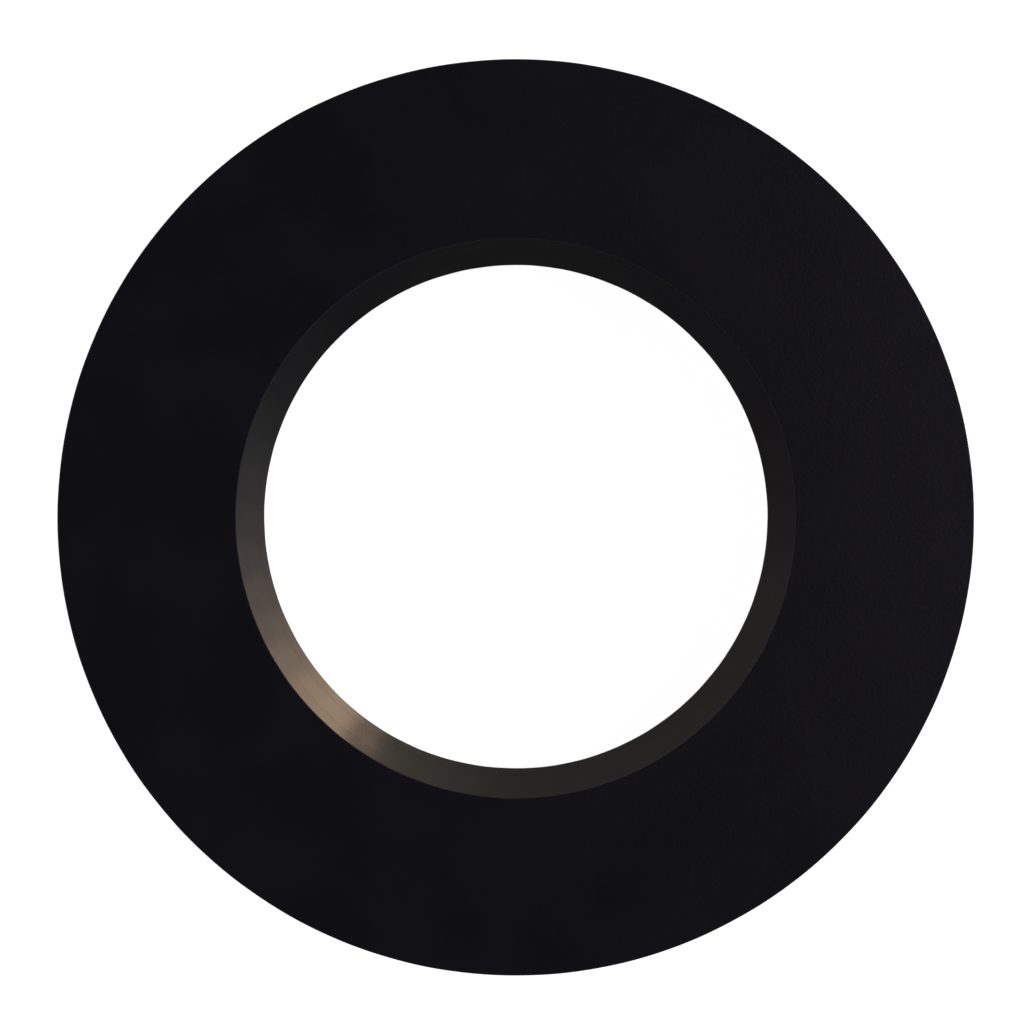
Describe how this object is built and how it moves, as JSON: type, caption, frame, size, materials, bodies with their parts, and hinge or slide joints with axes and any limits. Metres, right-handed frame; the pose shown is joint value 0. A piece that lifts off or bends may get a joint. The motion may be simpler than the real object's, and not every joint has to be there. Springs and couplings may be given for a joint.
{
  "type": "toilet flange seal ring",
  "caption": "Plain flat black seal ring for a toilet floor flange, with a straight bore, laminated from closed-cell rubber so that it crushes as the toilet is bolted down.",
  "frame": {"origin": "on the bore axis, in the plane of the underside that lies on the floor flange", "axes": "+Z along the bore axis, up towards the toilet; the ring is round, so X and Y are free"},
  "size_m": [0.125, 0.125, 0.025],
  "materials": {
    "facing_rubber": "matte",
    "core_foam": "matte",
    "bond_adhesive": "satin"
  },
  "bodies": {
    "base": {"bottom_facing": "facing_rubber", "lower_bond_film": "bond_adhesive", "foam_core": "core_foam"},
    "top": {"upper_bond_film": "bond_adhesive", "top_facing": "facing_rubber"}
  },
  "joints": [
    {"name": "crush", "type": "slide", "parent": "base", "child": "top", "axis": [0, 0, -1], "range_m": [0, 0.005], "stiffness_N_per_m": 100000, "deforming": ["foam_core"]}
  ]
}
